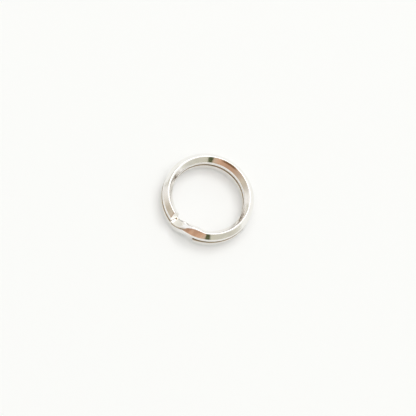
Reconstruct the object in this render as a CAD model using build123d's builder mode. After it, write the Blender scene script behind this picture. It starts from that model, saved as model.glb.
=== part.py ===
from build123d import *
import os
from math import cos, hypot, pi, radians, sin, tan

# Split ring: one wire wound twice round a flat ring. Sizes are millimetres and degrees.
# The ring lies on z = 0 with its axis on +Z, and the crossover between its two coils faces -Y.

# The ring
outer_diameter = 6.0
coil_gap = 0.05  # between the two mating faces
upper_end_clearance = 0.07  # from the upper cut end to the foot of the climb, along the wire
lower_end_clearance = 0.22  # from the lower cut end to the head of the climb, along the wire
cut_setback = 0.20  # how far each cut end slopes back at its ridge

# The wire's section: a flat mating face, straight sides, sloped shoulders and a rounded ridge
wire_width = 0.63  # across the ring's radius
wire_height = 0.68  # from the mating face to the ridge
mating_corner_radius = 0.08
shoulder_radius = 0.07  # on the upper coil, which is rolled to a steep ridge
shoulder_slope = 51.0  # from the ridge down to the shoulder, below the horizontal
foot_radius = 0.10  # on the lower coil, whose ridge is pressed nearly flat
foot_slope = 18.0

# The crossover, where the wire climbs from the lower coil to the upper one, in degrees round the ring
climb_turn = 27.5
ridge_lag = 9.0  # how far behind the climb the ridge starts to form on top
ridge_turn = 21.0
lean_lag = 16.5  # how far behind the climb the wire leans into the eye and its underside flattens
lean_turn = 32.0
lean_depth = 0.12  # how far the ridge and the inner side lean in, while the outer side stays
section_tilt = 0.75  # how much of the climb's steepness the sections tilt by
crossover_steps = 10

# Worked out from the sizes above
ridge_fullness = 0.875  # how far up a quartic curve reaches whose three middle points are level
wire_radius = (outer_diameter - wire_width) / 2  # ring axis to the middle of the wire
coil_pitch = wire_height + coil_gap
lower_height = wire_height / 2
upper_height = lower_height + coil_pitch
climb_start = 270.0 - climb_turn / 2
climb_end = climb_start + climb_turn
crossover_turn = lean_lag + lean_turn
crossover_end = climb_start + crossover_turn
cut_spare = 0.6  # how far beyond each cut end the wire is taken away

def smooth_step(share):
    """From 0 to 1, level at both ends."""
    share = min(max(share, 0), 1)
    return share * share * (3 - 2 * share)

def turn_along(distance):
    """The turn round the ring that a distance along the wire takes."""
    return distance / wire_radius * 180 / pi

def cap_points(share, full_slope, full_radius):
    """One side of the section above its middle, from the straight side in to the middle of the top.

    A share of 1 is the full ridge, and a share of 0 is the flat mating face.
    """
    slope = radians(full_slope * (1 - (1 - share) ** 3))
    corner = mating_corner_radius + (full_radius - mating_corner_radius) * share
    corner_x = wire_width / 2 - corner
    shoulder_x = corner_x + corner * sin(slope)
    rise = share * shoulder_x * tan(slope)
    shoulder_z = wire_height / 2 - ridge_fullness * rise
    corner_z = shoulder_z - corner * cos(slope)
    halfway = (pi / 2 - slope) / 2
    return {
        "side": (wire_width / 2, corner_z),
        "corner": (corner_x + corner * cos(halfway), corner_z + corner * sin(halfway)),
        "shoulder": (shoulder_x, shoulder_z),
        "brow": (shoulder_x * (1 - share), shoulder_z + rise),
        "middle": (0, shoulder_z + rise),
    }

def draw_cap(points, up, outer_stretch):
    """The shoulders and ridge of one side: up is 1 for the top and -1 for the underside."""
    outer = {name: (x * outer_stretch, up * z) for name, (x, z) in points.items()}
    inner = {name: (-x, up * z) for name, (x, z) in points.items()}
    ThreePointArc(outer["side"], outer["corner"], outer["shoulder"])
    if points["shoulder"][1] < points["middle"][1]:
        Bezier(outer["shoulder"], outer["brow"], outer["middle"], inner["brow"], inner["shoulder"])
    else:
        Line(outer["shoulder"], inner["shoulder"])
    ThreePointArc(inner["shoulder"], inner["corner"], inner["side"])
    return outer["side"], inner["side"]

def section_plane(angle, radius, height, tilt=0.0):
    """A plane across the wire, with x outward and y up. tilt is how far back y leans for its height."""
    turn = radians(angle)
    length = hypot(1, tilt)
    return Plane(
        origin=(radius * cos(turn), radius * sin(turn), height),
        x_dir=(cos(turn), sin(turn), 0),
        z_dir=(sin(turn) / length, -cos(turn) / length, -tilt / length),
    )


def wire_section(plane, ridge_share, flat_share, outer_stretch=1.0):
    """The wire's section on a plane, with a share of the ridge on top and of the flat underneath."""
    with BuildLine(plane) as outline:
        top = cap_points(ridge_share, shoulder_slope, shoulder_radius)
        underside = cap_points(1 - flat_share, foot_slope, foot_radius)
        top_outer, top_inner = draw_cap(top, 1, outer_stretch)
        bottom_outer, bottom_inner = draw_cap(underside, -1, outer_stretch)
        Line(top_inner, bottom_inner)
        Line(bottom_outer, top_outer)
    return Face(outline.wire())

def cut_end(angle, mating_height, onward):
    """Cuts a coil off on a slant that starts at its mating face. onward is 1 where the wire ends, else -1."""
    turn = radians(angle)
    length = hypot(wire_height, cut_setback)
    level = onward * wire_height / length
    plane = Plane(
        origin=(wire_radius * cos(turn), wire_radius * sin(turn), mating_height),
        x_dir=(cos(turn), sin(turn), 0),
        z_dir=(-sin(turn) * level, cos(turn) * level, onward * cut_setback / length),
    )
    across = 3 * wire_height
    with Locations(plane):
        Box(across, across, cut_spare, align=(Align.CENTER, Align.CENTER, Align.MIN), mode=Mode.SUBTRACT)

def coil(start_angle, end_angle, height, raised):
    """One flat coil of wire. raised is 0 for the lower coil and 1 for the upper one."""
    section = wire_section(section_plane(start_angle, wire_radius, height), raised, raised)
    revolve(section, axis=Axis.Z, revolution_arc=end_angle - start_angle)

def lower_coil():
    """The coil on the floor, flat side up, from its cut end to the foot of the climb."""
    start = climb_end + turn_along(lower_end_clearance)
    with BuildPart() as turned:
        coil(start - turn_along(cut_spare / 2), climb_start + 360, lower_height, 0)
        cut_end(start, wire_height, -1)
    return turned.part

def upper_coil():
    """The coil on top, flat side down, from the crossover to its cut end."""
    end = climb_start + 360 - turn_along(upper_end_clearance)
    with BuildPart() as turned:
        coil(crossover_end, end + turn_along(cut_spare / 2), upper_height, 1)
        cut_end(end, coil_pitch, 1)
    return turned.part

def crossover():
    """The climb and the lean, lofted through sections square to the wire."""
    rise_length = wire_radius * radians(climb_turn)
    sections = []
    with BuildPart() as climb:
        for step in range(crossover_steps + 1):
            turned = crossover_turn * step / crossover_steps
            climbed = min(turned / climb_turn, 1)
            leaned = max(turned - lean_lag, 0) / lean_turn
            tilt = section_tilt * 6 * climbed * (1 - climbed) * coil_pitch / rise_length
            lean = lean_depth * sin(pi * leaned) ** 2
            height = lower_height + coil_pitch * smooth_step(climbed)
            ridge_share = smooth_step((turned - ridge_lag) / ridge_turn)
            flat_share = smooth_step(leaned)
            plane = section_plane(climb_start + turned, wire_radius - lean, height, tilt)
            sections.append(wire_section(plane, ridge_share, flat_share, 1 + lean / (wire_width / 2)))
        loft(sections)
    return climb.part

with BuildPart() as split_ring:
    add(lower_coil())
    add(crossover())
    add(upper_coil())

split_ring.part.label = "split_ring"

os.makedirs("parts", exist_ok=True)
export_step(split_ring.part, "parts/split_ring.step")
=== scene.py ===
from math import cos, pi, radians, sin, tan

import bpy
import numpy as np
from bpy.props import FloatProperty, FloatVectorProperty, PointerProperty
from bpy.types import Operator, Panel, PropertyGroup
from mathutils import Matrix, Vector


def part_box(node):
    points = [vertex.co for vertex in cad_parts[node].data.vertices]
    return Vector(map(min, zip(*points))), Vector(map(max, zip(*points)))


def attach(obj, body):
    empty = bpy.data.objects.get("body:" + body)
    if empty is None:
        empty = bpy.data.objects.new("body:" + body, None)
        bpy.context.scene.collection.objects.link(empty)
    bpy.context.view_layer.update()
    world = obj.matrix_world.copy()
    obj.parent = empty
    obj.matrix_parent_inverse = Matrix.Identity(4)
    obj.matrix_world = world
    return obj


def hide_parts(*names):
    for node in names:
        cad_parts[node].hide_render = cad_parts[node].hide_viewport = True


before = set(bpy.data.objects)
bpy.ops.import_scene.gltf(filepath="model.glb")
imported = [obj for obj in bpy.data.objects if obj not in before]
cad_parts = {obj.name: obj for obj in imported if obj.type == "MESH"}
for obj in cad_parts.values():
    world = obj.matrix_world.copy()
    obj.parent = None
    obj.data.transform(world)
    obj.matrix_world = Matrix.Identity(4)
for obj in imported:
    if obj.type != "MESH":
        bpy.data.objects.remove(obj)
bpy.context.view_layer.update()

bl_info = {
    "name": "Split Ring",
    "version": (1, 0, 0),
    "blender": (4, 5, 0),
    "location": "3D View > Sidebar > Split Ring",
    "description": "A small split ring wound from one domed wire, with its silver finish and a studio stage",
    "category": "Add Mesh",
}

MM = 0.001
PER_MM = 1000.0
PANEL_DISTANCE = 0.9  # from the ring to the panel that it mirrors
NODE = "split_ring"
LOWEST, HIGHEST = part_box(NODE)


def length(name, description, default, **more):
    """A length in metres, shown in the scene's own unit."""
    return FloatProperty(
        name=name, description=description, default=default, min=0.0, unit="LENGTH", precision=5, **more
    )


def angle(name, description, degrees, **more):
    """An angle, given here in degrees and kept in radians."""
    return FloatProperty(
        name=name, description=description, default=radians(degrees), subtype="ANGLE", **more
    )


def colour(name, description, default):
    """A plain colour."""
    return FloatVectorProperty(
        name=name, description=description, default=default, size=3, min=0.0, max=1.0, subtype="COLOR"
    )


def number(name, description, default, top=1.0):
    """A bare number from none to a top value."""
    return FloatProperty(name=name, description=description, default=default, min=0.0, max=top)


class SPLITRING_PG_wire(PropertyGroup):
    """The ring and its wire, whose section has a flat mating face and a ridge between sloped shoulders."""

    outer_diameter: length("Outer diameter", "Across the whole ring", HIGHEST.x - LOWEST.x)
    stack_height: length("Height", "Both coils and the gap between them", HIGHEST.z - LOWEST.z)
    coil_gap: length("Coil gap", "Between the two mating faces", 0.05 * MM)
    upper_clearance: length("Upper end", "From the upper cut end to the foot of the climb", 0.07 * MM)
    lower_clearance: length("Lower end", "From the lower cut end to the head of the climb", 0.22 * MM)
    wire_width: length("Wire width", "Across the ring's radius", 0.63 * MM)
    mating_corner_radius: length("Mating corner", "Radius beside the mating face", 0.08 * MM)
    shoulder_radius: length("Shoulder", "Radius between the side and the slope", 0.07 * MM)
    shoulder_slope: angle("Shoulder slope", "From the ridge down to the shoulder", 48.5)
    foot_radius: length("Foot corner", "Radius between the side and the underside", 0.10 * MM)
    foot_slope: angle("Foot slope", "How much the underside falls to its middle", 18.0)
    climb_turn: angle("Climb turn", "How far round the ring the rise reaches", 27.5)
    section_tilt: number("Section tilt", "How much of the climb's steepness the sections tilt by", 0.75)
    ridge_lag: angle("Ridge lag", "How far behind the rise the ridge starts to form on top", 9.0)
    ridge_turn: angle("Ridge turn", "How far round the ring the ridge takes to form", 21.0)
    lean_lag: angle("Lean lag", "How far behind the rise the wire starts to lean into the eye", 16.5)
    lean_turn: angle("Lean turn", "How far round the ring the lean reaches", 32.0)
    lean_depth: length("Lean depth", "How far the ridge and the inner side lean into the eye", 0.12 * MM)
    cut_setback: length("Cut setback", "How far each cut end slopes back at its ridge", 0.20 * MM)
    end_round: length("End rounding", "Radius on the edges of the cut ends", 0.03 * MM)
    station_turn: angle("Station spacing", "Turn from one section to the next", 1.5)


class SPLITRING_PG_finish(PropertyGroup):
    """The polished silver, its wear and tarnish, and the painted shade and reflection on it."""

    silver: colour("Silver", "The clean, polished metal", (0.93, 0.92, 0.90))
    haze: colour("Haze", "Metal with the first breath of tarnish", (0.84, 0.80, 0.72))
    # Tarnish and painted shade on the mating faces deep in the gap
    tarnish: colour("Tarnish", "Old metal down in the gap", (0.10, 0.08, 0.055))
    # Painted brown: shade at the gap's mouth and beside it, and a dark reflection streak
    brown: colour("Painted brown", "The mouth of the gap and the painted marks beside it", (0.34, 0.25, 0.14))
    cut_face: colour("Cut face", "Bare metal at the two cut ends", (0.97, 0.96, 0.91))
    cut_roughness: number("Cut roughness", "Roughness of the cut ends", 0.50)
    polish: number("Polish", "Roughness of the cleanest metal", 0.07)
    dullness: number("Dullness", "Roughness added in worn and tarnished places", 0.16)
    line_depth: length("Drawn lines", "Depth of the lines left by drawing the wire", 0.0014 * MM)
    dent_depth: length("Dents", "Depth of the shallow unevenness", 0.011 * MM)


class SPLITRING_PG_stage(PropertyGroup):
    """The floor, the camera and the light."""

    floor_colour: colour("Floor", "The plain floor", (0.957, 0.955, 0.947))
    floor_glow: number("Floor glow", "Share of plain white in the floor as it is seen", 0.10)
    sky: colour("Sky", "The light all round", (0.985, 1.0, 0.96))
    sky_strength: number("Sky strength", "Brightness of the light all round", 0.48, 10.0)
    top_strength: number("Top light", "Power of the wide lamp overhead, in watts", 3.7, 100.0)
    key_strength: number("Key light", "Power of the soft lamp behind the ring, in watts", 0.42, 100.0)
    camera_elevation: angle("Camera elevation", "Height of the camera over the floor", 65.5)
    camera_azimuth: angle("Camera azimuth", "Where the camera stands, round the ring", 280.5)
    camera_roll: angle("Camera roll", "Turn of the camera about its line of sight", 30.0)
    camera_distance: length("Camera distance", "From the ring to the camera", 0.25)
    view_width: length("View width", "What the frame takes in at the ring", 26.84 * MM)
    pale_cloth: colour("Pale cloth", "The width to the left of the camera", (0.90, 0.88, 0.85))
    dusky_cloth: colour("Dusky cloth", "The width between the pale one and the warm one", (0.60, 0.53, 0.43))
    warm_cloth: colour("Warm cloth", "The panel's width in front of the camera", (0.53, 0.325, 0.215))
    bright_cloth: colour("Bright warm cloth", "The warm width to the right of the camera", (0.66, 0.41, 0.27))
    light_cloth: colour("Light warm cloth", "The warm width where it meets the dark one", (0.62, 0.48, 0.36))
    dark_cloth: colour("Dark cloth", "The narrow dark width beside the warm one", (0.095, 0.105, 0.05))
    grey_cloth: colour("Grey cloth", "The width to the right of the dark one", (0.60, 0.575, 0.47))
    mist_cloth: colour("Mist cloth", "The far end of the grey width", (0.70, 0.68, 0.60))
    hem: colour("Hem", "The shaded upper edge of the warm width", (0.42, 0.23, 0.14))
    panel_reach: angle("Panel reach", "How far up from the camera's horizon the panel goes", 52.0)


# The wire

RIDGE_FULLNESS = 0.875  # how far up a quartic curve reaches between its ends and its tripled peak
CORNER_POINTS = 9
RIDGE_POINTS = 31
SIDE_POINTS = 5
END_ROUND_POINTS = 5
END_FACE_INSET = 0.02 * MM  # how far inside the rounding the flat of a cut end starts
CUT_REACH = 1.0  # over this turn, in radians, the sections lean over to the slant of a cut end

# The painted shade and reflection marks. Turns and lengths are radians, and places and heights are shares of
# half the section.
CLEFT_TURN, CLEFT_LENGTH = 0.015, 0.035  # round from the upper cut end
CLEFT_PLACE, CLEFT_WIDTH = -0.45, 0.35
# Painted shade at the inner end of the cleft between the upper cut face and the climb
CLEFT_SHADE = 0.98
# Painted shade on the bare top's outer corner, running on from the gap
RUN_ON_FADE, RUN_ON_LENGTH, RUN_ON_END = 0.05, 0.30, 0.12
CORNER_HEIGHT, CORNER_REACH = 0.80, 0.15
# A painted dark reflection streak on the upper coil's inner slope, just below the ridge
STREAK_START, STREAK_END, STREAK_FADE = radians(442.0), radians(464.0), 0.15
STREAK_PLACE, STREAK_WIDTH = -0.22, 0.16
# Painted shade on the lower coil's outer upper edge, by the gap at its cut end
EDGE_HEIGHT, EDGE_REACH, EDGE_LENGTH, EDGE_SHADE = 0.50, 0.25, 0.35, 0.9


def smooth_step(turns, start, reach):
    """From 0 at the start to 1 at the end of a reach, as 3 s^2 - 2 s^3."""
    along = np.clip((turns - start) / reach, 0, 1)
    return along**2 * (3 - 2 * along)


def band(values, middle, reach, fullness):
    """1 about a middle value, falling evenly to 0 away from it. A fullness over 1 widens the level part."""
    return np.clip(fullness - abs(values - middle) / reach, 0, 1)


def cap_curve(sizes, wire_height, share, full_slope, full_radius):
    """Half of the section, above its middle, for an array of shares by column, as arrays of across and up.

    A share of 1 is the full ridge and a share of 0 is the flat mating face. A corner arc turns from upright
    to the slope, a quartic curve crosses the top, and the same arc, mirrored, ends at the far side. The
    curve's first and last points are the shoulders, and its other three are level with each other, at the
    height where the slopes meet: together for the full ridge, and spread to the shoulders for the flat face.
    """
    columns = CORNER_POINTS + RIDGE_POINTS - 2 + CORNER_POINTS
    slope = full_slope * (1 - (1 - share) ** 3)
    corner = sizes.mating_corner_radius + (full_radius - sizes.mating_corner_radius) * share
    corner_x = sizes.wire_width / 2 - corner
    shoulder_x = corner_x + corner * np.sin(slope)
    rise = share * shoulder_x * np.tan(slope)
    shoulder_z = wire_height / 2 - RIDGE_FULLNESS * rise
    corner_z = shoulder_z - corner * np.cos(slope)
    arc = np.linspace(0, 1, CORNER_POINTS)
    along = np.linspace(0, 1, RIDGE_POINTS)[1:-1]
    right, left = slice(0, CORNER_POINTS), slice(columns - CORNER_POINTS, columns)
    top = slice(CORNER_POINTS, columns - CORNER_POINTS)
    across = np.empty_like(share)
    up = np.empty_like(share)
    for place, steps, side in ((right, arc, 1), (left, arc[::-1], -1)):
        turn = steps * (pi / 2 - slope[:, place])
        across[:, place] = side * (corner_x[:, place] + corner[:, place] * np.cos(turn))
        up[:, place] = corner_z[:, place] + corner[:, place] * np.sin(turn)
    ends = (1 - along) ** 4 + along**4
    outer_pull = (1 - along) ** 4 - along**4
    inner_pull = 4 * ((1 - along) ** 3 * along - (1 - along) * along**3)
    across[:, top] = shoulder_x[:, top] * (outer_pull + inner_pull * (1 - share[:, top]))
    up[:, top] = shoulder_z[:, top] + (1 - ends) * rise[:, top]
    return across, up


def section_loops(sizes, wire_height, ridge_share, flat_share):
    """The closed section at every station: over the top, down the inner side, back underneath and up again.

    The top has the first share of the ridge, and the underside lacks the second share of the foot. The
    underside is the same kind of curve, turned upside down and run backwards. The straight sides are runs of
    evenly spaced points.
    """
    cap = 2 * CORNER_POINTS + RIDGE_POINTS - 2
    over, under = ridge_share[:, :cap], flat_share[:, cap + SIDE_POINTS : 2 * cap + SIDE_POINTS]
    top_x, top_z = cap_curve(sizes, wire_height, over, sizes.shoulder_slope, sizes.shoulder_radius)
    low_x, low_z = cap_curve(sizes, wire_height, 1 - under[:, ::-1], sizes.foot_slope, sizes.foot_radius)
    low_x, low_z = low_x[:, ::-1], -low_z[:, ::-1]
    step = np.linspace(0, 1, SIDE_POINTS + 2)[None, 1:-1]
    inner_z = top_z[:, -1:] + (low_z[:, :1] - top_z[:, -1:]) * step
    outer_z = low_z[:, -1:] + (top_z[:, :1] - low_z[:, -1:]) * step
    side = np.full_like(inner_z, sizes.wire_width / 2)
    across = np.concatenate([top_x, -side, low_x, side], 1)
    up = np.concatenate([top_z, inner_z, low_z, outer_z], 1)
    return across, up


def dark_and_brown_masks(sizes, wire_height, turns, across, up, start, end):
    """Where the metal is darkened with tarnish and painted shade in the gap, and where it is painted brown,
    from 0 to 1.

    The first mask is 1 on a mating face that the other coil covers, and fades round its corners to 0 on the
    sides: tarnish and painted shade in the gap, and painted shade at its mouth. It also takes in painted
    shade at the inner end of the cleft between the upper cut face and the climb. The second mask has three
    painted
    marks: shade on the outer corner of the bare top, running on from the gap to where the ridge forms, a dark
    reflection streak on the inner slope of the upper coil just below the ridge, and shade on the outer upper
    edge of the lower coil at its cut end.
    """
    high = up / (wire_height / 2)
    wide = across / (sizes.wire_width / 2)
    bare = end - 2 * pi  # the turn at which the upper coil stops covering the lower one
    # The covered mating faces: tarnish and painted shade between the coils
    covered_low = turns < bare
    covered_high = turns > start + 2 * pi
    dark = np.where(covered_low, up, np.where(covered_high, -up, 0.0)) / (wire_height / 2)
    # Painted shade at the inner end of the cleft
    cleft = band(turns - bare, CLEFT_TURN, CLEFT_LENGTH, 1.4) * band(wide, CLEFT_PLACE, CLEFT_WIDTH, 1.5)
    dark = np.maximum(dark, CLEFT_SHADE * cleft * (up > 0))
    # Painted shade running on along the bare top's outer corner, and a painted dark reflection streak below
    # the ridge
    runs_on = smooth_step(turns, bare, RUN_ON_FADE)
    runs_on *= 1 - smooth_step(turns, bare + RUN_ON_LENGTH, RUN_ON_END)
    corner = band(high, CORNER_HEIGHT, CORNER_REACH, 1.3) * (across > 0) * (turns < 2 * pi)
    streak = smooth_step(turns, STREAK_START, STREAK_FADE)
    streak *= 1 - smooth_step(turns, STREAK_END, STREAK_FADE)
    slope = band(wide, STREAK_PLACE, STREAK_WIDTH, 1.5) * (up > 0)
    # Painted shade on the lower coil's outer upper edge at its cut end
    edge = np.clip((high - EDGE_HEIGHT) / EDGE_REACH, 0, 1) * (across > 0)
    edge *= EDGE_SHADE * (1 - smooth_step(turns, start, EDGE_LENGTH))
    return dark, np.maximum.reduce([corner * runs_on, streak * slope, edge])


def wire_surface(sizes):
    """Every vertex of the wire, its place along, across and up the wire, the two end points, and three masks.

    A section is carried round two turns less the climb and the clearances. It stands square to the wire:
    across points outward, and up leans back by the rise. Over the lean the ridge and the inner side dip into
    the eye by the depth times sin^2(pi s), and the outer half widens to stay where it was. Towards both ends
    the sections lean over evenly until the ridge lies back by the setback, the slant of the cut. The last
    sections shrink and step back as a quarter circle does, which rounds the cut edge, and a smaller flat
    section and a middle point close the face. The masks are the gap's tarnish and painted shade, the cut
    faces and the painted brown marks.
    """
    wire_height = (sizes.stack_height - sizes.coil_gap) / 2
    half_width = sizes.wire_width / 2
    pitch = wire_height + sizes.coil_gap
    middle = sizes.outer_diameter / 2 - half_width
    climb_start = 1.5 * pi - sizes.climb_turn / 2
    climb_end = climb_start + sizes.climb_turn
    start = climb_end + sizes.lower_clearance / middle - 2 * pi
    end = climb_start - sizes.upper_clearance / middle + 2 * pi
    rounding = np.linspace(0, pi / 2, END_ROUND_POINTS)
    back = sizes.end_round * (1 - np.sin(rounding)) / middle
    inset = sizes.end_round * (1 - np.cos(rounding))
    stations = int((end - start) / sizes.station_turn)
    body = np.linspace(start + back[0], end - back[0], stations)
    face = inset[-1] + END_FACE_INSET
    turns = np.concatenate([[start], start + back[:0:-1], body, end - back[1:], [end]])
    insets = np.concatenate([[face], inset[:0:-1], np.zeros(stations), inset[1:], [face]])
    columns = 2 * (2 * CORNER_POINTS + RIDGE_POINTS - 2 + SIDE_POINTS)
    turns = np.repeat(turns[:, None], columns, 1)

    def section(turns):
        """The section at every station, smaller by the insets, as arrays of across and up."""
        ridge_share = smooth_step(turns, climb_start + sizes.ridge_lag, sizes.ridge_turn)
        flat_share = smooth_step(turns, climb_start + sizes.lean_lag, sizes.lean_turn)
        across, up = section_loops(sizes, wire_height, ridge_share, flat_share)
        across *= (1 - insets / half_width)[:, None]
        up *= (1 - insets / (wire_height / 2))[:, None]
        return across, up

    across, up = section(turns)
    setback = sizes.cut_setback / middle
    near_start = np.clip((start + CUT_REACH - turns) / CUT_REACH, 0, 1)
    near_end = np.clip((turns - end + CUT_REACH) / CUT_REACH, 0, 1)
    turns = turns + setback * (near_start * (0.5 - up / wire_height) - near_end * (0.5 + up / wire_height))
    across, up = section(turns)
    climbed = np.clip((turns - climb_start) / sizes.climb_turn, 0, 1)
    leaned = np.clip((turns - climb_start - sizes.lean_lag) / sizes.lean_turn, 0, 1)
    lean = sizes.lean_depth * np.sin(pi * leaned) ** 2
    radius = middle - lean + across * np.where(across > 0, 1 + lean / half_width, 1)
    height = LOWEST.z + wire_height / 2 + pitch * smooth_step(turns, climb_start, sizes.climb_turn)
    tilt = sizes.section_tilt * 6 * climbed * (1 - climbed) * pitch / (middle * sizes.climb_turn)
    stretch = np.sqrt(1 + tilt**2)
    behind = up * tilt / stretch
    points = np.stack([
        radius * np.cos(turns) + behind * np.sin(turns),
        radius * np.sin(turns) - behind * np.cos(turns),
        height + up / stretch,
    ], 2)
    places = np.stack([(turns - start) * middle, across, up], 2)
    ends = points[[0, -1]].mean(1)
    cut = np.repeat((insets / sizes.end_round).clip(0, 1)[:, None], columns, 1)
    dark, brown_marks = dark_and_brown_masks(sizes, wire_height, turns, across, up, start, end)
    return points, places, ends, dark, cut, brown_marks


def closed_tube(name, loops, end_points, attributes):
    """A mesh of closed loops joined in order, with a fan to a point at each end. Its faces point outwards."""
    stations, ring = loops.shape[:2]
    row = np.arange(stations - 1)[:, None] * ring
    column = np.arange(ring)[None, :]
    beside = (column + 1) % ring
    quads = np.stack([row + column, row + ring + column, row + ring + beside, row + beside], 2).reshape(-1, 4)
    first, last = stations * ring, stations * ring + 1
    column, beside = column[0], beside[0]
    top = (stations - 1) * ring
    caps = np.concatenate([
        np.stack([np.full(ring, first), column, beside], 1),
        np.stack([np.full(ring, last), top + beside, top + column], 1),
    ])
    corners = np.concatenate([quads.ravel(), caps.ravel()])
    sizes_of_faces = np.concatenate([np.full(len(quads), 4), np.full(len(caps), 3)])
    starts = np.concatenate([[0], np.cumsum(sizes_of_faces)[:-1]])
    mesh = bpy.data.meshes.new(name)
    mesh.vertices.add(stations * ring + 2)
    mesh.vertices.foreach_set("co", np.concatenate([loops.reshape(-1, 3), end_points]).ravel())
    mesh.loops.add(len(corners))
    mesh.loops.foreach_set("vertex_index", corners)
    mesh.polygons.add(len(starts))
    mesh.polygons.foreach_set("loop_start", starts)
    mesh.polygons.foreach_set("use_smooth", np.ones(len(starts), bool))
    mesh.update(calc_edges=True)
    mesh.validate()
    for label, (kind, field, values) in attributes.items():
        mesh.attributes.new(label, kind, "POINT").data.foreach_set(field, values.ravel())
    return mesh


def new_piece(name, mesh, material):
    """A finished piece at the origin, riding on the ring's one body."""
    mesh.materials.append(material)
    piece = bpy.data.objects.new(name, mesh)
    bpy.context.scene.collection.objects.link(piece)
    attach(piece, "root")
    return piece


# Materials


def nodes_of(name):
    """A new material, its emptied node tree and its output."""
    material = bpy.data.materials.new(name)
    material.use_nodes = True
    tree = material.node_tree
    tree.nodes.clear()
    output = tree.nodes.new("ShaderNodeOutputMaterial")
    return material, tree, output


def add_node(tree, kind, inputs=(), **settings):
    """A node with its settings, and its inputs set to a value or linked to another node's output."""
    node = tree.nodes.new(kind)
    for name, value in settings.items():
        setattr(node, name, value)
    for name, value in dict(inputs).items():
        if isinstance(value, bpy.types.NodeSocket):
            tree.links.new(value, node.inputs[name])
        else:
            node.inputs[name].default_value = value
    return node


def noise(tree, place, stretch, scale, detail=2.0, roughness=0.5):
    """Noise from 0 to 1 on a place stretched by three factors."""
    mapped = add_node(tree, "ShaderNodeMapping", {"Vector": place, "Scale": stretch})
    found = add_node(
        tree,
        "ShaderNodeTexNoise",
        {"Vector": mapped.outputs[0], "Scale": scale, "Detail": detail, "Roughness": roughness},
    )
    return found.outputs[0]


def remap(tree, value, low, high, to_low=0.0, to_high=1.0):
    """A value moved from one range to another, and kept inside it."""
    return add_node(
        tree,
        "ShaderNodeMapRange",
        {"Value": value, "From Min": low, "From Max": high, "To Min": to_low, "To Max": to_high},
    ).outputs[0]


def maths(tree, operation, first, second):
    """Two values put together."""
    return add_node(tree, "ShaderNodeMath", {0: first, 1: second}, operation=operation).outputs[0]


def blend_colours(tree, factor, first, second):
    """The first colour going over to the second one."""
    node = add_node(tree, "ShaderNodeMix", {"Factor": factor}, data_type="RGBA")
    for socket, value in ((node.inputs[6], first), (node.inputs[7], second)):
        if isinstance(value, bpy.types.NodeSocket):
            tree.links.new(value, socket)
        else:
            socket.default_value = (*value, 1.0)
    return node.outputs[2]


def polished_silver(finish):
    """Polished silver wire: drawn lines along it, shallow dents, fine scratches, tarnish and painted shade in
    the gap, and painted brown shade and reflection marks.

    The noises are laid out by each vertex's place along, across and up the wire, in periods per millimetre.
    """
    material, tree, output = nodes_of("polished_silver")
    place = add_node(tree, "ShaderNodeAttribute", attribute_name="wire_place").outputs["Vector"]
    dark = add_node(tree, "ShaderNodeAttribute", attribute_name="dark").outputs["Fac"]
    # Across the wire the lines are about 0.05 mm apart, and along it they run for about a millimetre
    lines = noise(tree, place, (0.4, 9.0, 9.0), PER_MM * 2.0, 3.0, 0.6)
    haze = noise(tree, place, (0.5, 1.0, 1.0), PER_MM * 1.2, 3.0, 0.55)
    scratches = noise(tree, place, (3.0, 1.0, 1.4), PER_MM * 9.0, 5.0, 0.7)
    dents = noise(tree, place, (0.55, 1.0, 1.0), PER_MM * 1.8, 1.0, 0.4)
    cut = add_node(tree, "ShaderNodeAttribute", attribute_name="cut").outputs["Fac"]
    brown_marks = add_node(tree, "ShaderNodeAttribute", attribute_name="brown_marks").outputs["Fac"]
    # Tarnish and painted shade deep in the gap, painted brown shade at its mouth, and the painted brown marks
    in_gap = remap(tree, dark, 0.93, 0.99)
    at_mouth = maths(tree, "MAXIMUM", remap(tree, dark, 0.70, 0.82), brown_marks)
    hazy = maths(tree, "MULTIPLY", remap(tree, haze, 0.45, 0.75), 0.5)
    lined = maths(tree, "MULTIPLY", remap(tree, lines, 0.55, 0.75), 0.25)
    dirt = maths(tree, "MAXIMUM", hazy, lined)
    clean = blend_colours(tree, dirt, finish.silver, finish.haze)
    browned = blend_colours(tree, at_mouth, clean, finish.brown)
    tone = blend_colours(tree, in_gap, browned, finish.tarnish)
    tone = blend_colours(tree, cut, tone, finish.cut_face)
    worn = maths(tree, "MAXIMUM", dirt, at_mouth)
    scuffed = maths(tree, "MAXIMUM", worn, maths(tree, "MULTIPLY", remap(tree, scratches, 0.55, 0.8), 0.6))
    rough = remap(tree, scuffed, 0.0, 1.0, finish.polish, finish.polish + finish.dullness)
    rough = maths(tree, "MAXIMUM", rough, maths(tree, "MULTIPLY", cut, finish.cut_roughness))
    normal = add_node(
        tree, "ShaderNodeBump", {"Height": dents, "Strength": 1.0, "Distance": finish.dent_depth}
    ).outputs[0]
    normal = add_node(
        tree,
        "ShaderNodeBump",
        {"Height": lines, "Strength": 1.0, "Distance": finish.line_depth, "Normal": normal},
    ).outputs[0]
    shader = add_node(
        tree,
        "ShaderNodeBsdfPrincipled",
        {"Base Color": tone, "Metallic": 1.0, "Roughness": rough, "Normal": normal},
    )
    tree.links.new(shader.outputs[0], output.inputs[0])
    return material


def seen_rays(tree):
    """1 for rays that are seen: by the camera, in a mirror, or through something clear."""
    rays = add_node(tree, "ShaderNodeLightPath").outputs
    seen = maths(tree, "MAXIMUM", rays["Is Camera Ray"], rays["Is Glossy Ray"])
    return maths(tree, "MAXIMUM", seen, rays["Is Transmission Ray"])


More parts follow.
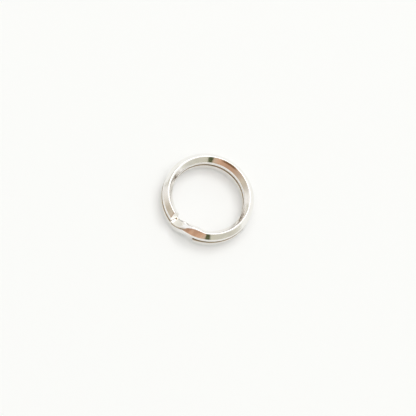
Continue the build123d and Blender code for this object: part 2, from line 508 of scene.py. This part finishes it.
def plain_paper(name, tint, glow):
    """A matt floor, with a little white glow where it is seen."""
    material, tree, output = nodes_of(name)
    shader = add_node(
        tree,
        "ShaderNodeBsdfPrincipled",
        {"Base Color": (*tint, 1.0), "Roughness": 0.95, "Specular IOR Level": 0.1},
    )
    white = add_node(tree, "ShaderNodeEmission", {"Color": (1.0, 1.0, 1.0, 1.0), "Strength": 1.0})
    share = maths(tree, "MULTIPLY", seen_rays(tree), glow)
    both = add_node(tree, "ShaderNodeMixShader", {0: share, 1: shader.outputs[0], 2: white.outputs[0]})
    tree.links.new(both.outputs[0], output.inputs[0])
    return material


HEM_FOOT, HEM_TOP = 0.5, 0.9
HEM_LEFT = radians(-55.0), radians(-30.0)  # from nothing to the full shade
HEM_RIGHT = radians(33.0), radians(10.0)
FOLD_SHADE, FOLD_LIGHT = 0.84, 1.10


def panel_cloth(stage):
    """The panel's cloth: widths of several colours side by side, a shaded hem over the warm ones, and folds.

    The angles are degrees to the right of the camera. A colour goes over evenly to the next one.
    """
    material, tree, output = nodes_of("panel_cloth")
    place = add_node(tree, "ShaderNodeTexCoord").outputs["Object"]
    turned = add_node(
        tree, "ShaderNodeMapping", {"Vector": place, "Rotation": (0.0, 0.0, -stage.camera_azimuth)}
    ).outputs[0]
    split = add_node(tree, "ShaderNodeSeparateXYZ", {"Vector": turned})
    around = maths(tree, "ARCTAN2", split.outputs["Y"], split.outputs["X"])
    ramp = add_node(tree, "ShaderNodeValToRGB", {"Fac": remap(tree, around, -pi, pi)})
    widths = [
        (-100.0, stage.grey_cloth),
        (-92.0, stage.pale_cloth),
        (-78.0, stage.pale_cloth),
        (-58.0, stage.dusky_cloth),
        (-49.0, stage.dusky_cloth),
        (-14.0, stage.warm_cloth),
        (0.0, stage.warm_cloth),
        (16.0, stage.bright_cloth),
        (30.5, stage.light_cloth),
        (32.0, stage.dark_cloth),
        (40.5, stage.dark_cloth),
        (42.0, stage.grey_cloth),
        (80.0, stage.mist_cloth),
    ]
    stops = ramp.color_ramp.elements
    while len(stops) < len(widths):
        stops.new(0.5)
    for stop, (degrees, tint) in zip(stops, widths):
        stop.position = degrees / 360.0 + 0.5
        stop.color = (*tint, 1.0)
    height = maths(tree, "ARCSINE", maths(tree, "DIVIDE", split.outputs["Z"], PANEL_DISTANCE), 0.0)
    # The hem fades out below, between these shares of the reach, and at both sides
    shaded = remap(tree, height, stage.panel_reach * HEM_FOOT, stage.panel_reach * HEM_TOP)
    shaded = maths(tree, "MULTIPLY", shaded, remap(tree, around, *HEM_LEFT))
    shaded = maths(tree, "MULTIPLY", shaded, remap(tree, around, *HEM_RIGHT))
    hemmed = blend_colours(tree, shaded, ramp.outputs[0], stage.hem)
    folds = add_node(tree, "ShaderNodeCombineXYZ", {"X": around, "Y": height})
    folds = noise(tree, folds.outputs[0], (2.0, 14.0, 1.0), 1.0, 3.0, 0.6)
    strength = remap(tree, folds, 0.35, 0.65, FOLD_SHADE, FOLD_LIGHT)
    shader = add_node(tree, "ShaderNodeEmission", {"Color": hemmed, "Strength": strength})
    tree.links.new(shader.outputs[0], output.inputs[0])
    return material


# The stage

PANEL_LEFT, PANEL_RIGHT = radians(-130.0), radians(102.0)  # its two ends, round from the camera
PANEL_STRIP = radians(9.0)  # the least height of its left end
PANEL_FALL = 0.88  # how fast its upper edge falls on the right
PANEL_COLUMNS, PANEL_ROWS = 117, 41
AIM_RIGHT, AIM_DOWN = 0.0014, 0.0221  # from the ring's middle to the aim, as shares of the view width
FLOOR_REACH = 3.0
LAMP_AZIMUTH = radians(96.75)
KEY_ELEVATION, KEY_DISTANCE, KEY_WIDTH = radians(62.0), 0.55, 0.30
TOP_ELEVATION, TOP_DISTANCE, TOP_WIDTH = radians(87.0), 0.80, 1.0


def shade_panel(stage):
    """A curved tent panel on the camera's side, from the floor up to its reach, seen by the metal alone.

    A point is cos(rise) * (cos(aside) * forward + sin(aside) * right) + sin(rise) * up. On the left the upper
    edge is arctan(tan(reach) * cos(aside)), as on a plane in front, but never lower than a strip. On the
    right it is the reach times cos(fall * aside), which falls more slowly.
    """
    aside = np.linspace(PANEL_LEFT, PANEL_RIGHT, PANEL_COLUMNS)[None, :]
    falling = np.arctan(tan(stage.panel_reach) * np.cos(aside)).clip(PANEL_STRIP, None)
    edge = np.where(aside < 0, falling, stage.panel_reach * np.cos(PANEL_FALL * aside))
    rise = np.linspace(0.0, 1.0, PANEL_ROWS)[:, None] * edge
    azimuth = stage.camera_azimuth + aside
    points = np.stack([
        np.cos(rise) * np.cos(azimuth),
        np.cos(rise) * np.sin(azimuth),
        np.sin(rise),
    ], 2) * PANEL_DISTANCE
    rows, columns = points.shape[:2]
    corner = (np.arange(rows - 1)[:, None] * columns + np.arange(columns - 1)[None, :]).ravel()
    faces = np.stack([corner, corner + columns, corner + columns + 1, corner + 1], 1)
    mesh = bpy.data.meshes.new("shade_panel")
    mesh.from_pydata(points.reshape(-1, 3), [], faces)
    mesh.materials.append(panel_cloth(stage))
    panel = bpy.data.objects.new("shade_panel", mesh)
    bpy.context.scene.collection.objects.link(panel)
    for ray in ("visible_camera", "visible_diffuse", "visible_shadow"):
        setattr(panel, ray, False)


def direction(azimuth, elevation):
    """A unit vector that way from the ring."""
    return Vector((cos(azimuth) * cos(elevation), sin(azimuth) * cos(elevation), sin(elevation)))


def place_camera(stage):
    """The camera, aimed past the ring's middle so that the ring sits where it should in the frame."""
    elevation, azimuth = stage.camera_elevation, stage.camera_azimuth
    back = direction(azimuth, elevation)
    right = Vector((-sin(azimuth), cos(azimuth), 0.0))
    up = back.cross(right)
    roll = stage.camera_roll
    frame_x = right * cos(roll) + up * sin(roll)
    frame_y = up * cos(roll) - right * sin(roll)
    middle = (LOWEST + HIGHEST) / 2
    middle.x = middle.y = 0.0
    aim = middle + frame_x * AIM_RIGHT * stage.view_width - frame_y * AIM_DOWN * stage.view_width
    data = bpy.data.cameras.new("camera")
    data.lens = data.sensor_width * stage.camera_distance / stage.view_width
    data.clip_start = 0.01
    data.clip_end = 20.0
    camera = bpy.data.objects.new("camera", data)
    bpy.context.scene.collection.objects.link(camera)
    turned = Matrix((frame_x, frame_y, back)).transposed().to_4x4()
    camera.matrix_world = Matrix.Translation(aim + back * stage.camera_distance) @ turned
    bpy.context.scene.camera = camera


def place_floor(stage):
    """One wide sheet under the ring."""
    mesh = bpy.data.meshes.new("floor")
    corners = [(x * FLOOR_REACH, y * FLOOR_REACH, LOWEST.z) for x, y in ((-1, -1), (1, -1), (1, 1), (-1, 1))]
    mesh.from_pydata(corners, [], [(0, 1, 2, 3)])
    mesh.materials.append(plain_paper("floor_paper", stage.floor_colour, stage.floor_glow))
    floor = bpy.data.objects.new("floor", mesh)
    bpy.context.scene.collection.objects.link(floor)


def place_lamp(name, towards, distance, width, watts):
    """A round soft lamp that faces the ring."""
    data = bpy.data.lights.new(name, "AREA")
    data.shape = "DISK"
    data.size = width
    data.energy = watts
    lamp = bpy.data.objects.new(name, data)
    bpy.context.scene.collection.objects.link(lamp)
    lamp.location = towards * distance
    lamp.rotation_euler = towards.to_track_quat("Z", "Y").to_euler()
    return lamp


def place_light(stage):
    """An even sky that is seen as white, a soft lamp behind the ring, a wide one overhead, and the panel."""
    world = bpy.data.worlds.new("sky")
    bpy.context.scene.world = world
    world.use_nodes = True
    tree = world.node_tree
    tree.nodes.clear()
    seen = seen_rays(tree)
    sky = {"Color": (*stage.sky, 1.0), "Strength": stage.sky_strength}
    glow = add_node(tree, "ShaderNodeBackground", sky)
    backdrop = add_node(tree, "ShaderNodeBackground", {"Color": (1.0, 1.0, 1.0, 1.0), "Strength": 1.0})
    both = add_node(tree, "ShaderNodeMixShader", {0: seen, 1: glow.outputs[0], 2: backdrop.outputs[0]})
    output = add_node(tree, "ShaderNodeOutputWorld", {"Surface": both.outputs[0]})
    key_side, top_side = direction(LAMP_AZIMUTH, KEY_ELEVATION), direction(LAMP_AZIMUTH, TOP_ELEVATION)
    place_lamp("key_lamp", key_side, KEY_DISTANCE, KEY_WIDTH, stage.key_strength)
    top = place_lamp("top_lamp", top_side, TOP_DISTANCE, TOP_WIDTH, stage.top_strength)
    top.visible_glossy = False
    shade_panel(stage)


# Operators, panel and run


class SPLITRING_OT_stage(Operator):
    """Set out the floor, the camera and the light"""

    bl_idname = "split_ring.stage"
    bl_label = "Stage"

    def execute(self, context):
        stage = context.scene.split_ring_stage
        place_camera(stage)
        place_floor(stage)
        place_light(stage)
        return {"FINISHED"}


class SPLITRING_OT_wire(Operator):
    """Wind the wire into the ring, in place of the plain solid"""

    bl_idname = "split_ring.wire"
    bl_label = "Wound wire"

    def execute(self, context):
        sizes = context.scene.split_ring_wire
        points, places, ends, dark, cut, brown_marks = wire_surface(sizes)
        end_places = np.array([[0.0, 0.0, 0.0], [places[-1, 0, 0], 0.0, 0.0]])
        attributes = {
            "wire_place": ("FLOAT_VECTOR", "vector", np.concatenate([places.reshape(-1, 3), end_places])),
            "dark": ("FLOAT", "value", np.concatenate([dark.ravel(), [0.0, 0.0]])),
            "cut": ("FLOAT", "value", np.concatenate([cut.ravel(), [1.0, 1.0]])),
            "brown_marks": ("FLOAT", "value", np.concatenate([brown_marks.ravel(), [0.0, 0.0]])),
        }
        mesh = closed_tube("wound_wire", points, ends, attributes)
        piece = new_piece("wound_wire", mesh, polished_silver(context.scene.split_ring_finish))
        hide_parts(NODE)
        return {"FINISHED"}


class SPLITRING_PT_panel(Panel):
    """The ring's sizes, finish and stage"""

    bl_idname = "SPLITRING_PT_panel"
    bl_label = "Split Ring"
    bl_space_type = "VIEW_3D"
    bl_region_type = "UI"
    bl_category = "Split Ring"

    def draw(self, context):
        for group, operators in (
            ("split_ring_stage", ("split_ring.stage",)),
            ("split_ring_wire", ("split_ring.wire",)),
            ("split_ring_finish", ()),
        ):
            settings = getattr(context.scene, group)
            box = self.layout.box()
            for name in settings.__annotations__:
                box.prop(settings, name)
            for operator in operators:
                box.operator(operator)


GROUPS = {
    "split_ring_wire": SPLITRING_PG_wire,
    "split_ring_finish": SPLITRING_PG_finish,
    "split_ring_stage": SPLITRING_PG_stage,
}
CLASSES = (*GROUPS.values(), SPLITRING_OT_stage, SPLITRING_OT_wire, SPLITRING_PT_panel)


def register():
    for item in CLASSES:
        bpy.utils.register_class(item)
    for name, group in GROUPS.items():
        setattr(bpy.types.Scene, name, PointerProperty(type=group))


def unregister():
    for name in GROUPS:
        delattr(bpy.types.Scene, name)
    for item in reversed(CLASSES):
        bpy.utils.unregister_class(item)


def main():
    """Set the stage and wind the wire."""
    register()
    view = bpy.context.scene.view_settings
    view.view_transform = "Standard"
    bpy.ops.split_ring.stage()
    bpy.ops.split_ring.wire()


if __name__ == "__main__":
    main()
